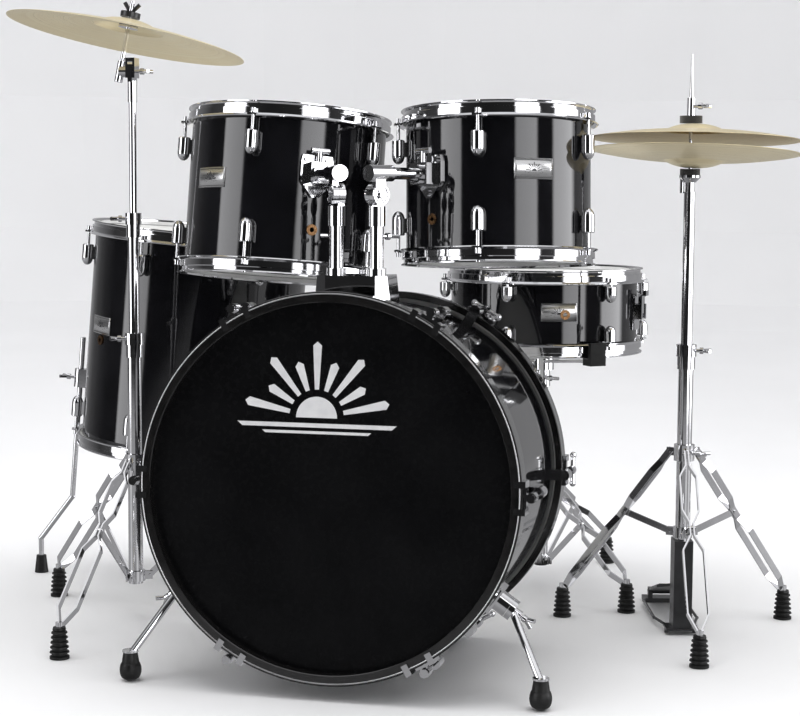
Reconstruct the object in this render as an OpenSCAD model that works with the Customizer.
/* [Bass drum] */
// Length over both wooden hoops
bass_length = 447; // [380:1:560]
// Outer radius of the shell
bass_radius = 279.4; // [230:0.2:310]
// Shell wall thickness
bass_wall = 7; // [5:0.5:10]
// Width of a wooden hoop along the axis
bass_hoop_width = 38; // [30:1:48]
// Thickness of a wooden hoop
bass_hoop_thickness = 12; // [9:0.5:16]
// Upward tilt of the front end
bass_tilt = 3; // [0:0.5:5]
// Tension rods at each end
bass_lugs_per_side = 6; // [5:1:8]

/* [Toms] */
// Outer radius of the left tom shell
tom_left_radius = 165; // [145:1:180]
// Depth of the left tom shell
tom_left_depth = 254; // [200:1:300]
// Outer radius of the right tom shell
tom_right_radius = 152.5; // [135:1:170]
// Depth of the right tom shell
tom_right_depth = 229; // [180:1:280]
// Shell wall thickness of toms and snare
shell_wall = 6; // [4:0.5:9]
// Tension rods at each end of a tom
tom_lugs_per_side = 5; // [4:1:6]
// Height of the hinge of a tom arm above the floor
tom_hinge_height = 755; // [745:1:790]
// Distance from a holder post to the shell of its tom
tom_arm_reach = 122; // [112:1:150]

/* [Floor tom] */
// Outer radius of the floor tom shell
floor_radius = 204; // [180:1:215]
// Depth of the floor tom shell
floor_depth = 406; // [340:1:440]
// Height of the middle of the floor tom shell
floor_centre_height = 472; // [440:1:540]

/* [Snare drum] */
// Outer radius of the snare shell
snare_radius = 178; // [165:1:185]
// Depth of the snare shell
snare_depth = 134; // [110:1:150]
// Height of the middle of the snare shell
snare_centre_height = 538; // [510:1:560]
// Tension rods at each end of the snare drum
snare_lugs_per_side = 6; // [6:1:8]

/* [Cymbals] */
// Radius of the hi-hat cymbals
hihat_radius = 178; // [150:1:190]
// Radius of the crash cymbal
crash_radius = 205; // [180:1:230]
// Thickness of the cymbal metal
cymbal_thickness = 1.4; // [1:0.1:2]
// Gap between the hi-hat cymbals at the edge
hihat_gap = 21; // [19:1:30]
// Height of the hi-hat seat above the floor
hihat_seat_height = 790; // [740:1:860]

/* [Stands] */
// Diameter of a stand base tube
base_tube_d = 25.4; // [23:0.1:28]
// Diameter of a middle tube
middle_tube_d = 19; // [17.5:0.1:20]
// Diameter of the crash stand top tube
top_tube_d = 12.7; // [11:0.1:14]
// Radius of the circle on which the hi-hat feet stand
hihat_foot_radius = 236; // [215:1:270]
// Radius of the circle on which the crash feet stand
crash_foot_radius = 275; // [250:1:310]
// Radius of the circle on which the snare stand feet stand
snare_foot_radius = 272; // [245:1:290]
// Height of the crash tilter hinge above the floor
crash_tilter_height = 962; // [900:1:1010]
// Thickness of a leg strip
strip_t = 2.5; // [2:0.1:3]
// Width of a leg strip
strip_w = 11; // [9:0.5:13]

/* [Fits] */
// Radial running clearance of tubes and pins
running = 0.05; // [0.02:0.01:0.09]
// Side gap between hinged plates
side_gap = 0.4; // [0.3:0.1:0.6]
// Gap between a drum shell and the fittings screwed to it
seat_gap = 0.15; // [0.1:0.05:0.3]

/* [Hidden] */
$fn = 48;

// Middle of the kit's footprint, so that the origin lies at the centre of the base.
kit_shift = [68, -562.5, 0];
chrome = "gainsboro";
black = "#141416";
rubber = "#202020";
cymbal_gold = "#d9c79a";

// Bass drum: local +Z points out of the front head, local +Y points up.
hoop_r = bass_radius + 3.6 + bass_hoop_thickness;
bass_centre = [0, bass_length / 2 * cos(bass_tilt),
    hoop_r * cos(bass_tilt) + bass_length / 2 * sin(bass_tilt)];
bass_shell_length = bass_length - 41;
bass_face = bass_length / 2;
rod_offset = 12;

bass_rod_d = 7;

// Tom holder
post_x = 32.4;
hinge_disc_d = 34;
hinge_pin_d = 8;
post_y = 173;
post_d = 22.2;
post_sleeve_d = 27;
plate_top = 630;
post_bottom = 452;
arm_rise = 33;
arm_angle = 33;
tom_left_tilt = [6.3, 2];
tom_right_tilt = [4.2, -1.4];
tom_left_first_lug = -3;
tom_right_first_lug = -1;
// A tom's middle lies this far below the axis of its arm.
tom_left_drop = 40;
tom_right_drop = 22;

// Height above floor and position of each free-standing unit.
floor_centre = [-474, 752, floor_centre_height];
floor_tilt = [0, 4.8];
snare_pos = [190, 870];
hihat_pos = [485, 552];
crash_pos = [-455, 386];
hihat_leg_angles = [12, 132, 252];
crash_leg_angles = [-6, 114, 234];
snare_leg_angles = [45, 158, 282];
basket_angles = [38, 158, 278];

// Film thickness of a drum head and clearance around its flesh ring.
film = 0.8;
vent_d = 12;
ring_gap = 0.6;
ring_t = 3.4;
ring_h = 8;
lug_offset = 13;
rod_d = 5.6;

// Tripod geometry: radius of the leg pivots on the collar and of the brace pivots on the hub.
collar_pivot_r = 27;
hub_pivot_r = 24;
boot_h = 52;
pinch = 0.42;
brace_t = 3;
pin_d = 5;
hihat_collar_z = 316;
hihat_hub_z = 177;
crash_collar_z = 286;
crash_hub_z = 84;
snare_collar_z = 205;
snare_hub_z = 52;

// Unit vector and the two thickened sides of an outline path.
function unit(v) = v / norm(v);
function left_of(v) = [-v[1], v[0]];
function joint_normal(p, i) =
    let (n = len(p), a = i > 0 ? unit(p[i] - p[i - 1]) : unit(p[1] - p[0]),
         b = i < n - 1 ? unit(p[i + 1] - p[i]) : a, m = unit(left_of(a) + left_of(b)))
    m / (m * left_of(a));
function side(p, t) = [for (i = [0:len(p) - 1]) p[i] + joint_normal(p, i) * t];
function reversed(p) = [for (i = [len(p) - 1:-1:0]) p[i]];
function thicken(p, t) = concat(side(p, t / 2), reversed(side(p, -t / 2)));

// Round bar between two points.
module rod(a, b, d) {
    v = b - a;
    translate(a) rotate([0, acos(v[2] / norm(v)), atan2(v[1], v[0])]) cylinder(d = d, h = norm(v));
}

// Bent bar: straight stretches that stop just short of the balls at its bends.
module round_path(points, d) {
    last = len(points) - 2;
    for (i = [0:last]) {
        v = unit(points[i + 1] - points[i]) * 0.15 * d;
        rod(points[i] + (i > 0 ? v : [0, 0, 0]), points[i + 1] - (i < last ? v : [0, 0, 0]), d);
    }
    for (i = [1:last]) translate(points[i]) sphere(d = d + 0.8);
}

module tube(d, wall, h) {
    difference() {
        cylinder(d = d, h = h);
        translate([0, 0, -1]) cylinder(d = d - 2 * wall, h = h + 2);
    }
}

// Flat strip that follows a path in its own plane, as wide as the sheet it is cut from.
module strip(points, t, w) {
    linear_extrude(height = w, center = true) polygon(thicken(points, t));
}

module wing_bolt(stem) {
    rotate([90, 0, 0]) {
        cylinder(d = 6, h = stem);
        translate([0, 0, stem - 4]) cylinder(d = 11, h = 6);
        for (s = [-1, 1])
            translate([0, 0, stem]) rotate([0, s * 38, 0]) translate([0, 0, 3]) cylinder(d = 6.5, h = 15);
    }
}

module facing(angle) {
    rotate([0, 0, angle]) children();
}

module kit() {
    translate(kit_shift) children();
}

/* Shared drum pieces, drawn about a drum's own middle with +Z along its axis. */
module shell(r, depth, wall, vent_angle, vent_z) {
    color(black) difference() {
        cylinder(r = r, h = depth, center = true, $fn = 96);
        cylinder(r = r - wall, h = depth + 2, center = true, $fn = 96);
        facing(vent_angle) translate([0, -r, vent_z]) rotate([90, 0, 0])
            cylinder(d = vent_d, h = 40, center = true);
    }
}

function head_outline(r, z) = [[0, z], [r + ring_gap, z], [r + ring_gap, z - ring_h],
    [r + ring_gap + ring_t, z - ring_h], [r + ring_gap + ring_t, z + film], [0, z + film]];

module head(r, depth) {
    color("whitesmoke") rotate_extrude($fn = 96) polygon(head_outline(r, depth / 2));
}

module head_pair(r, depth) {
    head(r, depth);
    mirror([0, 0, 1]) head(r, depth);
}

function hoop_path(r, z) = [[r + 8.3, z + 12], [r + 4, z + 11.2], [r + 3, z + 9], [r + 3, z + 3],
    [r + 6.3, z + 2], [r + 6.3, z - 8], [r + 12.5, z - 12]];

module steel_hoop(r, depth, lugs, first) {
    z = depth / 2;
    color(chrome) {
        difference() {
            union() {
                rotate_extrude($fn = 96) polygon(thicken(hoop_path(r, z), 1.8));
                for (k = [0:lugs - 1]) facing(first + k * 360 / lugs)
                    translate([-8, -r - lug_offset - 7, z - 12]) cube([16, 13, 3]);
            }
            for (k = [0:lugs - 1]) facing(first + k * 360 / lugs)
                translate([0, -r - lug_offset, z - 9]) cylinder(d = 11.2, h = 30);
            for (k = [0:lugs - 1]) facing(first + k * 360 / lugs)
                translate([0, -r - lug_offset, z - 30]) cylinder(d = rod_d + 1, h = 60);
        }
    }
}

module hoop_pair(r, depth, lugs, first) {
    steel_hoop(r, depth, lugs, first);
    mirror([0, 0, 1]) steel_hoop(r, depth, lugs, first);
}

function bullet(w, l, dome) = concat([[0, 0], [w - 1.5, 0], [w, -1.5]],
    [for (t = [0:15:90]) [w * cos(t), -(l - dome) - dome * sin(t)]]);

// One lug with its tension rod, key head and washer, below the hoop's ear.
module lug_and_rod(r, z, drop, l) {
    translate([0, -r - lug_offset, z]) {
        translate([0, 0, -drop]) rotate_extrude($fn = 32) polygon(bullet(10.5, l, 14));
        translate([-6, 4, -drop - l + 12]) cube([12, lug_offset - 1, l - 16]);
        translate([0, 0, -drop - 2]) cylinder(d = rod_d, h = drop + 1);
        translate([0, 0, -8.9]) cylinder(d = 10.2, h = 1.6);
        translate([0, 0, -7.4]) cylinder(d = 7.5, h = 7);
    }
}

module lugs_and_rods(r, depth, lugs, first, drop, l) {
    for (k = [0:lugs - 1]) facing(first + k * 360 / lugs) {
        lug_and_rod(r, depth / 2, drop, l);
        mirror([0, 0, 1]) lug_and_rod(r, depth / 2, drop, l);
    }
}

// Brass eyelet that lines the air hole of a shell.
module vent_eyelet(r, angle, z) {
    facing(angle) translate([0, -r, z]) rotate([90, 0, 0]) difference() {
        union() {
            translate([0, 0, -3]) cylinder(d = 11.8, h = 4);
            translate([0, 0, 0.6]) cylinder(d = 18, h = 1.6);
        }
        translate([0, 0, -5]) cylinder(d = 7.5, h = 12);
    }
}

/* Bass drum */
module bass_frame() {
    kit() translate(bass_centre) rotate([90 - bass_tilt, 0, 0]) children();
}

// World point on the bass drum's axis line above the holder, and the shell's top there.
axis_height = bass_centre[2] - (post_y - bass_centre[1]) * tan(bass_tilt);

module bass_shell() {
    color(black) difference() {
        bass_frame() difference() {
            cylinder(r = bass_radius, h = bass_shell_length, center = true, $fn = 120);
            cylinder(r = bass_radius - bass_wall, h = bass_shell_length + 2, center = true, $fn = 120);
        }
        kit() for (s = [-1, 1]) translate([s * post_x, post_y, axis_height])
            cylinder(d = post_d + 4, h = 400);
    }
}

function wood_hoop_outline() =
    let (z = bass_shell_length / 2, lip = bass_radius - 1)
    [[lip, z + film + 0.2], [bass_radius + ring_gap + ring_t + 0.4, z + film + 0.2],
     [bass_radius + ring_gap + ring_t + 0.4, bass_face - bass_hoop_width],
     [hoop_r - 1, bass_face - bass_hoop_width], [hoop_r, bass_face - bass_hoop_width + 1],
     [hoop_r, bass_face - 1], [hoop_r - 1, bass_face], [lip + 1, bass_face], [lip, bass_face - 1]];

module wood_hoop() {
    rotate_extrude($fn = 120) polygon(wood_hoop_outline());
}

module bass_hoops() {
    color(black) bass_frame() {
        wood_hoop();
        mirror([0, 0, 1]) wood_hoop();
    }
}

module bass_front_head() {
    color("#0c0c0e") bass_frame() rotate_extrude($fn = 120)
        polygon(head_outline(bass_radius, bass_shell_length / 2));
}

module bass_batter_head() {
    color("whitesmoke") bass_frame() mirror([0, 0, 1])
        rotate_extrude($fn = 120) polygon(head_outline(bass_radius, bass_shell_length / 2));
}

// Claw: two hooks over the hoop, a bridge outside it and a boss for the tension rod.
module claw() {
    hook_z = bass_face;
    for (s = [-1, 1]) {
        translate([s * 20 - 5, hoop_r - 13, hook_z]) cube([10, 18, 3.5]);
        translate([s * 20 - 5, hoop_r - 4, hook_z - 30]) cube([10, 9, 30.5]);
    }
    translate([-25, hoop_r - 4, hook_z - 26]) cube([50, 8.5, 16]);
    translate([0, hoop_r + rod_offset, hook_z - 30]) cylinder(d = 15, h = 22);
    translate([-5, hoop_r, hook_z - 26]) cube([10, rod_offset, 16]);
}

module bass_lug() {
    translate([-9, bass_radius - 3, bass_shell_length / 2 - 82])
        cube([18, hoop_r - bass_radius + rod_offset + 3, 26]);
    translate([0, hoop_r + rod_offset, bass_shell_length / 2 - 86]) cylinder(d = 18, h = 34);
}

module bass_rod(bar) {
    translate([0, hoop_r + rod_offset, bass_shell_length / 2 - 60])
        cylinder(d = bass_rod_d, h = bass_face - bass_shell_length / 2 + 56);
    translate([0, hoop_r + rod_offset, bass_face - 8]) cylinder(d = 13, h = 7);
    if (bar) {
        rod([-24, hoop_r + rod_offset, bass_face + 3], [24, hoop_r + rod_offset, bass_face + 3], 8);
        for (s = [-1, 1]) translate([s * 24, hoop_r + rod_offset, bass_face + 3]) sphere(d = 11);
    }
}

module bass_end(bar) {
    for (k = [0:bass_lugs_per_side - 1]) facing(180 / bass_lugs_per_side + k * 360 / bass_lugs_per_side) {
        difference() {
            union() {
                claw();
                bass_lug();
            }
            cylinder(r = bass_radius + seat_gap, h = bass_shell_length, center = true, $fn = 120);
            translate([0, 0, bass_face - bass_hoop_width - 1])
                cylinder(r = hoop_r + seat_gap, h = bass_hoop_width + 1, $fn = 120);
        }
        bass_rod(bar);
    }
}

// Spur hinge on the shell's side, with its hinge line square to the shell.
spur_point = [262, 92, 135];
spur_foot = [326, 22, 0];
spur_axis_angle = atan2(spur_point[0], axis_height + 4.2 - spur_point[2]);
spur_disc_t = 9;

module spur_frame() {
    translate(spur_point) rotate([0, 180 - spur_axis_angle, 0]) children();
}

module spur_bracket() {
    spur_frame() {
        translate([0, 0, -22]) cylinder(d = 34, h = 22 - side_gap);
        translate([-21, -25, -38]) cube([42, 50, 18]);
    }
}

module spur_brackets() {
    difference() {
        union() {
            spur_bracket();
            mirror([1, 0, 0]) spur_bracket();
        }
        translate(bass_centre) rotate([90 - bass_tilt, 0, 0])
            cylinder(r = bass_radius + seat_gap, h = bass_shell_length, center = true, $fn = 120);
    }
}

module bass_hardware() {
    color(chrome) {
        bass_frame() {
            bass_end(false);
            mirror([0, 0, 1]) bass_end(true);
        }
        kit() spur_brackets();
    }
}

function spur_outline() = concat([[0, 0], [6, 0]],
    [for (t = [-60:15:60]) [10 + 7 * cos(t), 17 + 14 * sin(t)]], [[11, 46], [0, 46]]);

// Leg rod with its bulb-shaped rubber foot; the clamp disc turns about the hinge line.
module spur_right() {
    top = spur_point + [8, -6, -8];
    reach = spur_foot + [-4, 4, 40];
    color(chrome) kit() {
        spur_frame() {
            cylinder(d = 34, h = spur_disc_t);
            translate([0, 0, spur_disc_t]) cylinder(d = 14, h = 12);
            translate([0, 0, spur_disc_t + 10]) rotate([-90, 0, 40]) wing_bolt(10);
        }
        rod(top, reach, 12);
        translate(spur_foot + [-4, 4, 45.2]) cylinder(d = 25, h = 3);
    }
    color(rubber) kit() translate(spur_foot + [-4, 4, 0]) rotate_extrude($fn = 32) polygon(spur_outline());
}

module spur_left() {
    translate([kit_shift[0] * 2, 0, 0]) mirror([1, 0, 0]) spur_right();
}

/* Tom holder and toms */
holder_half = 38;

// Plan of the holder block: its front corners are bevelled.
holder_plan = [[-40, -holder_half], [40, -holder_half], [66, -20], [66, holder_half],
    [-66, holder_half], [-66, -20]];

module tom_holder_base() {
    color(chrome) kit() difference() {
        union() {
            intersection() {
                translate([0, post_y + holder_half, 0]) rotate([90, 0, 0])
                    linear_extrude(height = 2 * holder_half)
                    polygon([[-64, 560], [64, 560], [56, plate_top], [-56, plate_top]]);
                translate([0, post_y, 560]) linear_extrude(height = 100) polygon(holder_plan);
            }
            for (s = [-1, 1]) translate([s * post_x, post_y, plate_top])
                cylinder(d = post_sleeve_d + 4, h = 10);
            translate([0, post_y + holder_half, plate_top - 14]) rotate([0, 0, 180]) wing_bolt(14);
        }
        translate(bass_centre) rotate([90 - bass_tilt, 0, 0])
            cylinder(r = bass_radius + seat_gap, h = bass_shell_length, center = true, $fn = 120);
        for (s = [-1, 1]) translate([s * post_x, post_y, 500]) cylinder(d = post_d + 2 * running, h = 200);
    }
}

// Post with the lower half of the tilting joint; s is -1 for the left one.
module tom_post(s) {
    color(chrome) kit() translate([s * post_x, post_y, 0]) {
        difference() {
            union() {
                translate([0, 0, post_bottom]) cylinder(d = post_d, h = 706 - post_bottom);
                translate([0, 0, 706]) cylinder(d = post_sleeve_d, h = 31);
                translate([0, 0, 690]) rotate([0, 0, 180 - s * 35]) wing_bolt(24);
            }
            translate([0, 0, post_bottom - 1]) cylinder(d = post_d - 4, h = 230);
        }
        rotate([0, 0, s * -arm_angle]) {
            difference() {
                union() {
                    translate([s * -5 - 5, -9, 730]) cube([10, 18, tom_hinge_height - 730]);
                    translate([s * -5 - 5, 0, tom_hinge_height]) rotate([0, 90, 0])
                        cylinder(d = hinge_disc_d, h = 10);
                }
                translate([-12, 0, tom_hinge_height]) rotate([0, 90, 0])
                    cylinder(d = hinge_pin_d + 2 * running, h = 24);
            }
        }
    }
}

module tom_post_left() {
    tom_post(-1);
}

module tom_post_right() {
    tom_post(1);
}

function post_to_tom(s, r) = (r + tom_arm_reach) * [s * sin(arm_angle), cos(arm_angle)];
function tom_centre(s, r, drop) =
    let (d = post_to_tom(s, r)) [s * post_x + d[0], post_y + d[1], tom_hinge_height + arm_rise - drop];

module tom_frame(s, r, drop, tilt) {
    kit() translate(tom_centre(s, r, drop)) rotate([-tilt[0], tilt[1], 0]) children();
}

// Upper half of the tilting joint with the arm that runs back to the shell's bracket.
module tom_arm(s, r) {
    kit() translate([s * post_x, post_y, tom_hinge_height]) rotate([0, 0, s * -arm_angle]) {
        translate([s * side_gap, 0, 0]) rotate([0, s * 90, 0]) {
            cylinder(d = hinge_disc_d, h = 9);
            translate([0, 0, 9]) cylinder(d = 12, h = 5);
        }
        translate([s * -11, 0, 0]) rotate([0, s * 90, 0]) cylinder(d = hinge_pin_d, h = 18);
        translate([s * (side_gap + 4.5) - 4.5, -10, 0]) cube([9, 20, arm_rise]);
        translate([0, -18, arm_rise]) rotate([-90, 0, 0]) cylinder(d = 26, h = 48);
        translate([0, 20, arm_rise]) rotate([-90, 0, 0]) cylinder(d = 19, h = tom_arm_reach - 40);
    }
}

// Clamp block and three-cornered plate on the shell where the arm ends.
module tom_bracket(r, z) {
    translate([0, -r, z]) {
        translate([-17, -34, -17]) cube([34, 26, 34]);
        translate([0, -34, 0]) rotate([90, 0, 0]) cylinder(d = 30, h = 9);
        rotate([90, 0, 0]) linear_extrude(height = 9)
            polygon([[-25, 30], [25, 30], [27, 20], [27, -12], [6, -38], [-6, -38], [-27, -12], [-27, 20]]);
        for (p = [[-18, 23], [18, 23], [0, -30]])
            translate([p[0], -9, p[1]]) rotate([90, 0, 0]) cylinder(d = 9, h = 4);
        translate([0, -21, 17]) cylinder(d = 9, h = 20);
        rod([-15, -21, 37], [15, -21, 37], 9);
    }
}

// Height of the bracket in the leaning tom's own frame, so that it meets the level arm.
function bracket_height(s, r, drop, tilt) =
    drop - (r + 21) * (cos(arm_angle) * sin(tilt[0]) + s * sin(arm_angle) * sin(tilt[1]));

module tom_hardware(s, r, depth, drop, tilt, first) {
    color(chrome) {
        tom_frame(s, r, drop, tilt) {
            difference() {
                union() {
                    lugs_and_rods(r, depth, tom_lugs_per_side, first, 36, 40);
                    facing(s * -arm_angle) tom_bracket(r, bracket_height(s, r, drop, tilt));
                }
                cylinder(r = r + seat_gap, h = depth, center = true, $fn = 96);
            }
            vent_eyelet(r, s * -arm_angle, -depth / 4);
        }
        tom_arm(s, r);
    }
}

module tom_left_shell() {
    tom_frame(-1, tom_left_radius, tom_left_drop, tom_left_tilt)
        shell(tom_left_radius, tom_left_depth, shell_wall, arm_angle, -tom_left_depth / 4);
}

module tom_left_hoops() {
    tom_frame(-1, tom_left_radius, tom_left_drop, tom_left_tilt)
        hoop_pair(tom_left_radius, tom_left_depth, tom_lugs_per_side, tom_left_first_lug);
}

module tom_left_heads() {
    tom_frame(-1, tom_left_radius, tom_left_drop, tom_left_tilt)
        head_pair(tom_left_radius, tom_left_depth);
}

module tom_left_hardware() {
    tom_hardware(-1, tom_left_radius, tom_left_depth, tom_left_drop, tom_left_tilt, tom_left_first_lug);
}

module tom_right_shell() {
    tom_frame(1, tom_right_radius, tom_right_drop, tom_right_tilt)
        shell(tom_right_radius, tom_right_depth, shell_wall, -arm_angle, -tom_right_depth / 4);
}

module tom_right_hoops() {
    tom_frame(1, tom_right_radius, tom_right_drop, tom_right_tilt)
        hoop_pair(tom_right_radius, tom_right_depth, tom_lugs_per_side, tom_right_first_lug);
}

module tom_right_heads() {
    tom_frame(1, tom_right_radius, tom_right_drop, tom_right_tilt)
        head_pair(tom_right_radius, tom_right_depth);
}

module tom_right_hardware() {
    tom_hardware(1, tom_right_radius, tom_right_depth, tom_right_drop, tom_right_tilt, tom_right_first_lug);
}

/* Floor tom */
floor_leg_r = floor_radius + 22;
floor_leg_angles = [-86, 34, 154];
floor_leg_d = 10;
floor_first_lug = -11;
floor_vent_angle = -40;
floor_vent_z = -4;

module floor_frame() {
    kit() translate(floor_centre) rotate([-floor_tilt[0], floor_tilt[1], 0]) children();
}

module floor_tom_shell() {
    floor_frame() shell(floor_radius, floor_depth, shell_wall, floor_vent_angle, floor_vent_z);
}

module floor_tom_hoops() {
    floor_frame() hoop_pair(floor_radius, floor_depth, snare_lugs_per_side, floor_first_lug);
}

module floor_tom_heads() {
    floor_frame() head_pair(floor_radius, floor_depth);
}

module leg_bracket() {
    translate([0, -floor_leg_r, -100]) {
        difference() {
            union() {
                translate([0, 0, -18]) cylinder(d = 24, h = 36);
                translate([-12, 0, -18]) cube([24, 26, 36]);
            }
            translate([0, 0, -30]) cylinder(d = floor_leg_d + 2 * running, h = 60);
        }
        translate([0, -9, 0]) difference() {
            wing_bolt(16);
            translate([0, 9, -30]) cylinder(d = floor_leg_d + 2 * running, h = 60);
        }
    }
}

module floor_tom_hardware() {
    color(chrome) floor_frame() {
        difference() {
            union() {
                lugs_and_rods(floor_radius, floor_depth, snare_lugs_per_side, floor_first_lug, 36, 40);
                for (a = floor_leg_angles) facing(a) leg_bracket();
            }
            cylinder(r = floor_radius + seat_gap, h = floor_depth, center = true, $fn = 96);
        }
        vent_eyelet(floor_radius, floor_vent_angle, floor_vent_z);
    }
}

// A point given in the floor tom's tilted frame, in kit coordinates.
function floor_point(x, y, z) = floor_centre
    + [x * cos(floor_tilt[1]) + z * sin(floor_tilt[1]), y, z * cos(floor_tilt[1]) - x * sin(floor_tilt[1])];
floor_leg_bend = -338;
floor_leg_spread = 66;
floor_boot_h = 34;

module floor_leg(a) {
    x = sin(a);
    y = -cos(a);
    top = floor_point(x * floor_leg_r, y * floor_leg_r, -20);
    bend = floor_point(x * floor_leg_r, y * floor_leg_r, floor_leg_bend);
    out = [bend[0] + x * floor_leg_spread, bend[1] + y * floor_leg_spread, 68];
    foot = [out[0], out[1], floor_boot_h - 4];
    color(chrome) kit() round_path([top, bend, out, foot], floor_leg_d);
    color(rubber) kit() translate([foot[0], foot[1], 0]) cylinder(d1 = 27, d2 = 19, h = floor_boot_h);
}

module floor_tom_legs() {
    for (a = floor_leg_angles) floor_leg(a);
}

/* Snare drum */
snare_first_lug = -12;
lever_pin_d = 5;
strainer_angle = 81;

module snare_frame() {
    kit() translate([snare_pos[0], snare_pos[1], snare_centre_height]) children();
}

module snare_shell() {
    snare_frame() shell(snare_radius, snare_depth, shell_wall, 21, 0);
}

module snare_hoops() {
    snare_frame() hoop_pair(snare_radius, snare_depth, snare_lugs_per_side, snare_first_lug);
}

module snare_heads() {
    snare_frame() head_pair(snare_radius, snare_depth);
}

module strainer_plate() {
    translate([-17, -snare_radius - 5, -34]) cube([34, 10, 68]);
    for (s = [-1, 1]) translate([s * 14 - 3, -snare_radius - 18, -14]) cube([6, 16, 28]);
}

module snare_hardware() {
    color(chrome) snare_frame() {
        difference() {
            union() {
                lugs_and_rods(snare_radius, snare_depth, snare_lugs_per_side, snare_first_lug, 16, 30);
                facing(strainer_angle) difference() {
                    strainer_plate();
                    translate([-20, -snare_radius - 13, 0]) rotate([0, 90, 0])
                        cylinder(d = lever_pin_d + 2 * running, h = 40);
                }
                facing(strainer_angle + 180) translate([-17, -snare_radius - 8, -34]) cube([34, 12, 46]);
            }
            cylinder(r = snare_radius + seat_gap, h = snare_depth, center = true, $fn = 96);
        }
        vent_eyelet(snare_radius, 21, 0);
    }
}

module strainer_lever() {
    color(chrome) snare_frame() facing(strainer_angle) translate([0, -snare_radius - 13, 0]) {
        translate([-17, 0, 0]) rotate([0, 90, 0]) cylinder(d = lever_pin_d, h = 34);
        translate([-11 + side_gap, -3.5, -3]) cube([22 - 2 * side_gap, 7, 36]);
        translate([-9, -11, 30]) cube([18, 9, 10]);
    }
}

wire_count = 20;

module snare_wires() {
    z = -snare_depth / 2 - film - 1.6;
    half = snare_radius - 34;
    color("silver") snare_frame() facing(strainer_angle) {
        for (i = [0:wire_count - 1])
            translate([(i - (wire_count - 1) / 2) * 2.2, -half, z]) rotate([-90, 0, 0])
                cylinder(d = 1.6, h = 2 * half, $fn = 8);
        for (s = [-1, 1]) translate([-24, s * half - 5, z - 2]) cube([48, 10, 3.6]);
    }
}

/* Tripod stands, drawn about a stand's own axis; a leg is drawn pointing along -Y. */
function leg_length(foot_r, collar_z) = norm([foot_r - 8 - collar_pivot_r, collar_z - boot_h + 4]);
function leg_slope(foot_r, collar_z) = atan2(foot_r - 8 - collar_pivot_r, collar_z - boot_h + 4);
function brace_end(foot_r, collar_z) =
    let (l = pinch * leg_length(foot_r, collar_z), a = leg_slope(foot_r, collar_z))
    [collar_pivot_r + l * sin(a), collar_z - l * cos(a)];

near = brace_t / 2 + side_gap + strip_t / 2;
function leg_outline(l, s) = [[-5, s * near], [0.07 * l, s * near], [0.13 * l, s * 14], [0.32 * l, s * 14],
    [0.39 * l, s * near], [0.46 * l, s * near], [0.54 * l, s * 17], [0.88 * l, s * 17],
    [0.97 * l, s * near], [l, s * near]];

// Rubber boot with five fins.
fin_step = 8;
function boot_outline() = concat([[0, 0], [16, 0], [16, 4]],
    [for (i = [0:4]) each [[12.6 - i * 0.5, 6 + i * fin_step], [12.6 - i * 0.5, 9 + i * fin_step],
        [16 - i * 0.7, 10 + i * fin_step], [15.6 - i * 0.7, 12 + i * fin_step]]],
    [[10, 46], [11, 48], [10, boot_h], [0, boot_h]]);

module boot() {
    color(rubber) rotate_extrude($fn = 32) polygon(boot_outline());
}

module leg_strips(l) {
    for (s = [-1, 1]) {
        strip(s > 0 ? leg_outline(l, s) : reversed(leg_outline(l, s)), strip_t, strip_w);
        translate([pinch * l, s * (near + strip_t / 2), 0]) rotate([s * -90, 0, 0]) cylinder(d = 8, h = 2);
    }
    rotate([90, 0, 0]) cylinder(d = pin_d, h = 2 * near + strip_t + 4, center = true);
}

module leg(foot_r, collar_z) {
    l = leg_length(foot_r, collar_z);
    color(chrome) {
        translate([0, -collar_pivot_r, collar_z]) rotate([0, 0, -90])
            rotate([0, 90 - leg_slope(foot_r, collar_z), 0]) leg_strips(l);
        translate([0, 8 - foot_r, boot_h - 0.01]) cylinder(d = 12, h = 8);
    }
    translate([0, -foot_r + 8, 0]) boot();
}

module brace(foot_r, collar_z, hub_z) {
    e = brace_end(foot_r, collar_z);
    l = norm([e[0] - hub_pivot_r, e[1] - hub_z]);
    slope = atan2(e[1] - hub_z, e[0] - hub_pivot_r);
    color(chrome) translate([0, -hub_pivot_r, hub_z]) rotate([0, -slope, -90]) difference() {
        union() {
            translate([0, -brace_t / 2, -strip_w / 2]) cube([l, brace_t, strip_w]);
            for (x = [0, l]) translate([x, 0, 0]) rotate([90, 0, 0])
                cylinder(d = strip_w, h = brace_t, center = true);
        }
        rotate([90, 0, 0]) cylinder(d = pin_d + 2 * running, h = 10, center = true);
    }
}

// Sliding collar with a tongue for each leg.
module leg_collar(angles, collar_z) {
    color(chrome) difference() {
        union() {
            translate([0, 0, collar_z - 14]) cylinder(d = base_tube_d + 10, h = 28);
            for (a = angles) facing(a) {
                translate([-brace_t / 2, -collar_pivot_r - 5, collar_z - 7])
                    cube([brace_t, collar_pivot_r - 5, 14]);
            }
            facing(angles[0] + 60) translate([0, -base_tube_d / 2 - 2, collar_z]) wing_bolt(14);
        }
        translate([0, 0, collar_z - 20]) cylinder(d = base_tube_d + 2 * running, h = 40);
        for (a = angles) facing(a) translate([0, -collar_pivot_r, collar_z]) rotate([0, 90, 0])
            cylinder(d = pin_d + 2 * running, h = 12, center = true);
    }
}

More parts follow.
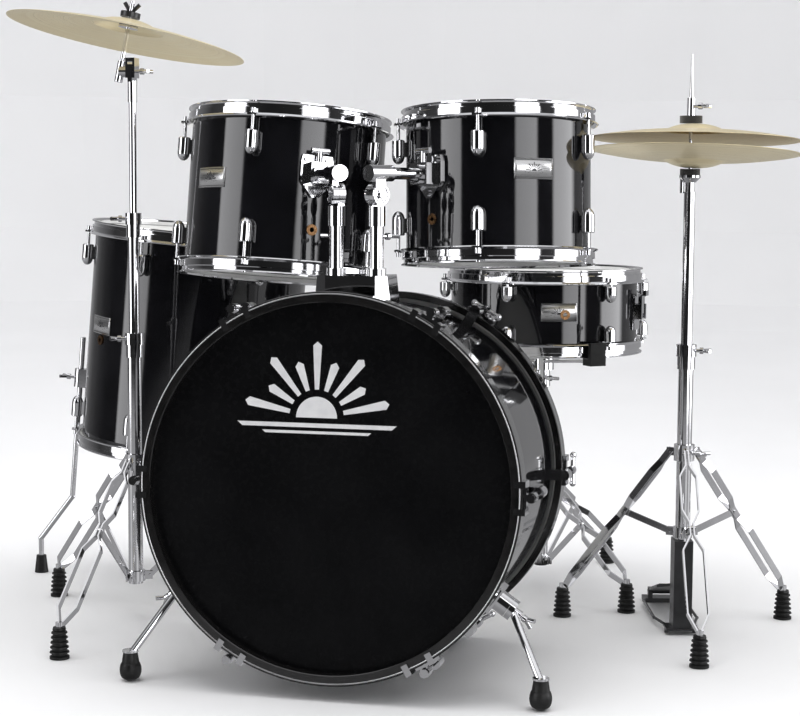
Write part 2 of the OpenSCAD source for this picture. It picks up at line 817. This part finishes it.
// Hub at the foot of the base tube, with a clevis and pin for each brace.
module hub(angles, hub_z, bore) {
    ear = brace_t / 2 + side_gap;
    difference() {
        union() {
            translate([0, 0, hub_z - 9]) cylinder(d = base_tube_d + 8, h = 18);
            for (a = angles, s = [-1, 1]) facing(a)
                translate([s > 0 ? ear : -ear - 3, -hub_pivot_r - 5, hub_z - 7]) cube([3, hub_pivot_r - 5, 14]);
        }
        translate([0, 0, hub_z - 20]) cylinder(d = bore, h = 40);
        for (a = angles) facing(a) translate([-ear, -hub_pivot_r - 8, hub_z - 8])
            cube([2 * ear, hub_pivot_r + 0.2 - base_tube_d / 2, 16]);
    }
    for (a = angles) facing(a) translate([0, -hub_pivot_r, hub_z]) rotate([0, 90, 0])
        cylinder(d = pin_d, h = 2 * ear + 10, center = true);
}

// Clamp collar at the top of a tube, with a wing screw.
module clamp_collar(d, z, turn) {
    difference() {
        union() {
            translate([0, 0, z - 22]) cylinder(d = d + 5, h = 22);
            translate([0, 0, z]) cylinder(d = d + 9, h = 20);
            facing(turn) translate([0, -d / 2, z + 10]) wing_bolt(14);
        }
        translate([0, 0, z - 40]) cylinder(d = d, h = 61);
    }
}

module slide_tube(d, inner, z0, z1) {
    translate([0, 0, z0]) difference() {
        cylinder(d = d, h = z1 - z0);
        translate([0, 0, -1]) cylinder(d = inner + 2 * running, h = z1 - z0 + 2);
    }
}

/* Hi-hat stand */
module hihat_frame() {
    kit() translate([hihat_pos[0], hihat_pos[1], 0]) children();
}

hihat_base_top = 482;
hihat_base_bottom = 164;

// Bushing that closes a tube's end around the next tube in.
module bushing(outer, inner, z, h) {
    translate([0, 0, z]) difference() {
        cylinder(d = outer, h = h);
        translate([0, 0, -1]) cylinder(d = inner + 2 * running, h = h + 2);
    }
}

module hihat_base_tube() {
    color(chrome) hihat_frame() {
        slide_tube(base_tube_d, middle_tube_d, hihat_base_bottom, hihat_base_top);
        clamp_collar(base_tube_d, hihat_base_top - 0.01, 90);
        bushing(base_tube_d, middle_tube_d, hihat_base_top - 0.01, 20);
        hub(hihat_leg_angles, hihat_hub_z, base_tube_d - 1);
    }
}

module hihat_leg_collar() {
    hihat_frame() leg_collar(hihat_leg_angles, hihat_collar_z);
}

module hihat_leg(i) {
    hihat_frame() facing(hihat_leg_angles[i]) leg(hihat_foot_radius, hihat_collar_z);
}

module hihat_brace(i) {
    hihat_frame() facing(hihat_leg_angles[i]) brace(hihat_foot_radius, hihat_collar_z, hihat_hub_z);
}

pull_rod_d = 6.5;
hihat_tube_bore = 14;

module hihat_upper_tube() {
    seat = hihat_seat_height;
    color(chrome) hihat_frame() {
        translate([0, 0, 380]) tube(middle_tube_d, (middle_tube_d - hihat_tube_bore) / 2, seat - 408);
        translate([0, 0, seat - 28]) tube(16, 1, 18);
        difference() {
            union() {
                translate([0, 0, seat - 12]) cylinder(d1 = 20, d2 = 36, h = 8);
                translate([0, 0, seat - 4]) cylinder(d = 36, h = 4);
            }
            translate([0, 0, seat - 13]) cylinder(d = 13, h = 20);
        }
        translate([-13, 0, seat - 30]) cylinder(d = 7, h = 26);
    }
    color(black) hihat_frame() translate([0, 0, seat]) tube(34, 10, 11);
}

// Bow and bell of a cymbal as a radius and height path from its hole to its edge.
function cymbal_path(r, hole, bell_r, bell_h, bow) = concat(
    [for (t = [0:1:6]) let (x = hole + (bell_r - hole) * t / 6)
        [x, bow + bell_h * (1 - pow(x / bell_r, 2.6))]],
    [for (t = [1:1:10]) let (x = bell_r + (r - bell_r) * t / 10)
        [x, bow * (1 - pow((x - bell_r) / (r - bell_r), 1.7))]]);

module cymbal(r, hole, bell_r, bell_h, bow) {
    color(cymbal_gold) rotate_extrude($fn = 96)
        polygon(thicken(cymbal_path(r, hole, bell_r, bell_h, bow), cymbal_thickness));
}

hihat_bell_r = 52;
hihat_bell_h = 12;
hihat_bow = 14;
// Lean of the cymbals about X and Y, as they hang in the clutch and on the tilting seat.
hihat_top_lean = [-2.5, 0.6];
hihat_bottom_lean = [-3.5, 1.2];
hihat_bottom_z = hihat_seat_height + 11 + cymbal_thickness / 2 + hihat_bell_h + hihat_bow + 1.4;

module hihat_bottom_cymbal() {
    hihat_frame() translate([0, 0, hihat_bottom_z]) rotate([hihat_bottom_lean[0], hihat_bottom_lean[1], 0])
        mirror([0, 0, 1])
        cymbal(hihat_radius, 6.5, hihat_bell_r, hihat_bell_h, hihat_bow);
}

hihat_top_z = hihat_bottom_z + hihat_gap;
hihat_bell_top = hihat_top_z + hihat_bow + hihat_bell_h;

module hihat_top_cymbal() {
    hihat_frame() translate([0, 0, hihat_top_z]) rotate([hihat_top_lean[0], hihat_top_lean[1], 0])
        cymbal(hihat_radius, 6.5, hihat_bell_r, hihat_bell_h, hihat_bow);
}

pedal_turn = -167;
toe_height = 84;

module hihat_pull_rod() {
    clutch = hihat_bell_top + 2;
    color(chrome) hihat_frame() {
        translate([0, 0, 128]) cylinder(d = pull_rod_d, h = 802);
        translate([0, 0, 930]) cylinder(d1 = pull_rod_d, d2 = 3, h = 64);
        translate([0, 0, clutch + 12]) cylinder(d = 14, h = 30);
        translate([0, 0, clutch - 10]) cylinder(d = 10, h = 22);
        translate([0, 0, clutch - 12]) cylinder(d = 22, h = 4);
        translate([0, -5, clutch + 28]) facing(80) translate([0, -5, 0]) wing_bolt(12);
        facing(pedal_turn) translate([-5, -4, toe_height + 6]) cube([10, 8, 128 - toe_height]);
    }
    color(black) hihat_frame() translate([0, 0, clutch]) cylinder(d = 38, h = 12);
}

frame_w = 26;

module hihat_pedal_frame() {
    color(black) hihat_frame() facing(pedal_turn) {
        for (s = [-1, 1]) translate([s * (frame_w / 2 + 1.5) - 1.5, -26, 12]) cube([3, 46, 152]);
        translate([-frame_w / 2 - 3, 17, 12]) cube([frame_w + 6, 3, 152]);
        difference() {
            translate([-frame_w / 2 - 3, -26, 160]) cube([frame_w + 6, 46, 4]);
            translate([0, 0, 150]) cylinder(d = 15, h = 30);
        }
        translate([-28, -22, 8]) cube([56, 44, 4]);
        for (s = [-1, 1]) translate([s * 24, 0, 0]) cylinder(d = 8, h = 8.01);
        translate([-34, -262, 0]) cube([68, 34, 8]);
        for (s = [-1, 1]) translate([s * 22 - 4, -240, 7.9]) cube([8, 12, 20]);
        rod([-26, -242, 20], [26, -242, 20], 5.9);
    }
    color(chrome) hihat_frame() facing(pedal_turn) for (s = [-1, 1])
        round_path([[s * 26, -18, 11], [s * 38, -60, 12], [s * 38, -200, 10], [s * 31, -234, 6]], 5);
}

function footboard_outline(w, toe, l) = [[-w * 0.36, 0], [w * 0.36, 0], [w * 0.5, l * 0.25],
    [w * 0.5, l * 0.66], [toe / 2, l * 0.84], [toe / 2, l], [-toe / 2, l], [-toe / 2, l * 0.84],
    [-w * 0.5, l * 0.66], [-w * 0.5, l * 0.25]];

module footboard_plate(w, toe, l) {
    linear_extrude(height = 5) polygon(footboard_outline(w, toe, l));
}

// The footboard turns on the heel pin and lies under the pull strap at its toe.
module hihat_footboard() {
    rise = atan2(toe_height - 20, 232);
    color(black) hihat_frame() facing(pedal_turn) translate([0, -242, 20]) difference() {
        union() {
            rotate([rise, 0, 0]) translate([0, 0, -2.6]) footboard_plate(62, 22, 250);
            rotate([0, 90, 0]) cylinder(d = 12, h = 34, center = true);
        }
        rotate([0, 90, 0]) cylinder(d = 5.9 + 2 * running, h = 80, center = true);
        for (s = [-1, 1]) translate([s * 22 - 4.5, -20, -20]) cube([9, 36, 60]);
    }
}

/* Crash stand */
module crash_frame() {
    kit() translate([crash_pos[0], crash_pos[1], 0]) children();
}

crash_base_top = 492;
crash_base_bottom = 70;
crash_middle_top = 700;
tilter_pin_d = 6;

module crash_base_tube() {
    color(chrome) crash_frame() {
        slide_tube(base_tube_d, middle_tube_d, crash_base_bottom, crash_base_top);
        clamp_collar(base_tube_d, crash_base_top - 0.01, -70);
        bushing(base_tube_d, middle_tube_d, crash_base_top - 0.01, 20);
        hub(crash_leg_angles, crash_hub_z, base_tube_d - 1);
    }
}

module crash_leg_collar() {
    crash_frame() leg_collar(crash_leg_angles, crash_collar_z);
}

module crash_leg(i) {
    crash_frame() facing(crash_leg_angles[i]) leg(crash_foot_radius, crash_collar_z);
}

module crash_brace(i) {
    crash_frame() facing(crash_leg_angles[i]) brace(crash_foot_radius, crash_collar_z, crash_hub_z);
}

module crash_middle_tube() {
    color(chrome) crash_frame() {
        slide_tube(middle_tube_d, top_tube_d, 360, crash_middle_top);
        clamp_collar(middle_tube_d, crash_middle_top - 0.01, -70);
        bushing(middle_tube_d, top_tube_d, crash_middle_top - 0.01, 20);
    }
}

// Cymbal seat: the tilter turns about a level line and carries the leaning rod.
crash_lean = [6, 9];
// The rod stands this far to the side of the tube.
crash_rod_shift = 22;

module crash_top_tube() {
    color(chrome) crash_frame() {
        translate([0, 0, 560]) cylinder(d = top_tube_d, h = crash_tilter_height - 18 - 560);
        translate([0, 0, crash_tilter_height - 52]) cylinder(d = 16, h = 36);
        difference() {
            translate([-4, -12, crash_tilter_height - 18]) cube([8, 24, 30]);
            translate([-10, 0, crash_tilter_height]) rotate([0, 90, 0])
                cylinder(d = tilter_pin_d + 2 * running, h = 20);
        }
    }
}

seat_height = 92;

module crash_tilter() {
    color(chrome) crash_frame() translate([0, 0, crash_tilter_height]) {
        for (s = [-1, 1]) translate([s * (4 + side_gap + 2) - 2, -11, -11]) cube([4, 22, 34]);
        translate([-8.4, -11, 17]) cube([16.8, 22, 6]);
        rotate([0, 90, 0]) cylinder(d = tilter_pin_d, h = 18, center = true);
        translate([9, 0, 0]) rotate([0, 0, 90]) wing_bolt(10);
        translate([-crash_rod_shift, 0, 0]) rotate([0, 90, 0]) cylinder(d = 20, h = crash_rod_shift - 6);
    }
    color(chrome) crash_rod_frame() {
        translate([0, 0, -18]) cylinder(d = 14, h = 36);
        cylinder(d = 8, h = seat_height + 30);
        translate([0, 0, seat_height - 16]) cylinder(d = 34, h = 3);
    }
    color(black) crash_rod_frame() {
        translate([0, 0, seat_height - 13]) cylinder(d = 32, h = 8);
        translate([0, 0, seat_height + 2.2]) cylinder(d = 34, h = 9);
        for (s = [-1, 1]) translate([0, 0, seat_height + 10]) rotate([0, s * 40, 0]) cylinder(d = 7, h = 21);
    }
}

module crash_rod_frame() {
    crash_frame() translate([-crash_rod_shift, 0, crash_tilter_height])
        rotate([-crash_lean[0], crash_lean[1], 0]) children();
}

crash_bell_r = 62;
crash_bell_h = 16;
crash_bow = 17;

module crash_cymbal() {
    crash_rod_frame() translate([0, 0, seat_height - 1.5 - crash_bell_h - crash_bow])
        cymbal(crash_radius, 6, crash_bell_r, crash_bell_h, crash_bow);
}

/* Snare stand */
module snare_stand_frame() {
    kit() translate([snare_pos[0], snare_pos[1], 0]) children();
}

snare_base_top = 330;

module snare_stand_base() {
    color(chrome) snare_stand_frame() {
        slide_tube(base_tube_d, middle_tube_d, 40, snare_base_top);
        clamp_collar(base_tube_d, snare_base_top - 0.01, 30);
        bushing(base_tube_d, middle_tube_d, snare_base_top - 0.01, 20);
        hub(snare_leg_angles, snare_hub_z, base_tube_d - 1);
    }
    snare_stand_frame() {
        leg_collar(snare_leg_angles, snare_collar_z);
        for (a = snare_leg_angles) facing(a) {
            leg(snare_foot_radius, snare_collar_z);
            brace(snare_foot_radius, snare_collar_z, snare_hub_z);
        }
    }
}

basket_z = snare_centre_height - snare_depth / 2 - 20;
basket_tip_r = snare_radius + 17;

module basket_arm() {
    for (s = [-1, 1])
        round_path([[s * 7, -12, basket_z - 14], [s * 13, -basket_tip_r + 34, basket_z],
            [s * 13, -basket_tip_r, basket_z]], 6);
}

module basket_tip() {
    translate([-16, -basket_tip_r - 8, basket_z - 6]) cube([32, 9, 42]);
    translate([-16, -basket_tip_r, basket_z - 6]) cube([32, 20, 12]);
}

module snare_basket() {
    color(chrome) snare_stand_frame() {
        translate([0, 0, 200]) cylinder(d = middle_tube_d, h = basket_z - 60 - 200);
        translate([0, 0, basket_z - 62]) cylinder(d = 26, h = 34);
        translate([0, 0, basket_z - 30]) cylinder(d = 40, h = 26);
        facing(38) translate([0, -12, basket_z - 45]) wing_bolt(14);
        for (a = basket_angles) facing(a) basket_arm();
    }
    color(rubber) snare_stand_frame() for (a = basket_angles) facing(a) basket_tip();
}

/* Bass drum pedal */
kick_y = bass_length * cos(bass_tilt);
kick_axle = [0, kick_y + 34, 158];
kick_w = 78;
kick_heel = [0, kick_y + 257, 20];
kick_toe = [0, kick_y + 3, 78];
kick_wheel_r = 22;
kick_pin_d = 5.9;

module kick_frame() {
    kit() children();
}

// Upper jaw that holds the pedal to the rear hoop.
module hoop_jaw() {
    translate([-14, kick_y - 30, 19]) cube([28, 46, 6]);
    translate([-14, kick_y + 4, 0]) cube([28, 30, 25]);
    translate([0, kick_y + 19, 24.9]) cylinder(d = 12, h = 8);
}

module kick_pedal_frame() {
    color("#3a3a3d") kick_frame() {
        for (s = [-1, 1]) difference() {
            translate([s * kick_w / 2 - 5, kick_axle[1] - 12, 4]) cube([10, 24, kick_axle[2] + 8]);
            translate([s * kick_w / 2 - 8, kick_axle[1], kick_axle[2]]) rotate([0, 90, 0])
                cylinder(d = 10 + 2 * running, h = 16);
        }
        translate([-kick_w / 2 - 5, kick_axle[1] - 12, 0]) cube([kick_w + 10, 24, 5]);
        hoop_jaw();
        for (s = [-1, 1]) translate([s * 30 - 3, kick_axle[1] + 10, 0])
            cube([6, kick_heel[1] - kick_axle[1] - 18, 5]);
        translate([-40, kick_heel[1] - 11, 0]) cube([80, 50, 9]);
        for (s = [-1, 1]) translate([s * 24 - 4, kick_heel[1] - 7, 8.9]) cube([8, 14, 19]);
        rod(kick_heel - [28, 0, 0], kick_heel + [28, 0, 0], kick_pin_d);
    }
}

module kick_footboard() {
    length = norm([kick_heel[1] - kick_toe[1], kick_toe[2] - kick_heel[2]]);
    rise = atan2(kick_toe[2] - kick_heel[2], kick_heel[1] - kick_toe[1]);
    color("#4a4a4e") kick_frame() {
        translate(kick_heel) rotate([0, 0, 180]) difference() {
            union() {
                rotate([rise, 0, 0]) translate([0, 0, -2.6]) footboard_plate(64, 30, length);
                rotate([0, 90, 0]) cylinder(d = 12, h = 38, center = true);
            }
            rotate([0, 90, 0]) cylinder(d = kick_pin_d + 2 * running, h = 90, center = true);
            for (s = [-1, 1]) translate([s * 24 - 4.5, -20, -20]) cube([9, 34, 60]);
        }
        translate([-5, kick_axle[1] - kick_wheel_r - 2.4, kick_toe[2] - 4])
            cube([10, 2, kick_axle[2] - kick_toe[2] + 8]);
    }
}

beater_lean = 38;

module kick_beater() {
    color("silver") kick_frame() translate(kick_axle) {
        rotate([0, 90, 0]) cylinder(d = 10, h = kick_w + 16, center = true);
        translate([-7, 0, 0]) rotate([0, 90, 0]) cylinder(r = kick_wheel_r, h = 14);
        rotate([-beater_lean, 0, 0]) translate([0, 0, 4]) cylinder(d = 7, h = 172);
    }
    color("ivory") kick_frame() translate(kick_axle) rotate([-beater_lean, 0, 0])
        translate([0, 24, 166]) rotate([90, 0, 0]) cylinder(d = 46, h = 48);
}

bass_shell();
bass_hoops();
bass_front_head();
bass_batter_head();
bass_hardware();
spur_left();
spur_right();
tom_holder_base();
tom_post_left();
tom_post_right();
tom_left_shell();
tom_left_hoops();
tom_left_heads();
tom_left_hardware();
tom_right_shell();
tom_right_hoops();
tom_right_heads();
tom_right_hardware();
floor_tom_shell();
floor_tom_hoops();
floor_tom_heads();
floor_tom_hardware();
floor_tom_legs();
snare_shell();
snare_hoops();
snare_heads();
snare_hardware();
snare_wires();
strainer_lever();
snare_stand_base();
snare_basket();
hihat_base_tube();
hihat_leg_collar();
hihat_leg(0);  // hihat_leg_1
hihat_leg(1);  // hihat_leg_2
hihat_leg(2);  // hihat_leg_3
hihat_brace(0);  // hihat_brace_1
hihat_brace(1);  // hihat_brace_2
hihat_brace(2);  // hihat_brace_3
hihat_upper_tube();
hihat_bottom_cymbal();
hihat_pull_rod();
hihat_top_cymbal();
hihat_pedal_frame();
hihat_footboard();
crash_base_tube();
crash_leg_collar();
crash_leg(0);  // crash_leg_1
crash_leg(1);  // crash_leg_2
crash_leg(2);  // crash_leg_3
crash_brace(0);  // crash_brace_1
crash_brace(1);  // crash_brace_2
crash_brace(2);  // crash_brace_3
crash_middle_tube();
crash_top_tube();
crash_tilter();
crash_cymbal();
kick_pedal_frame();
kick_footboard();
kick_beater();
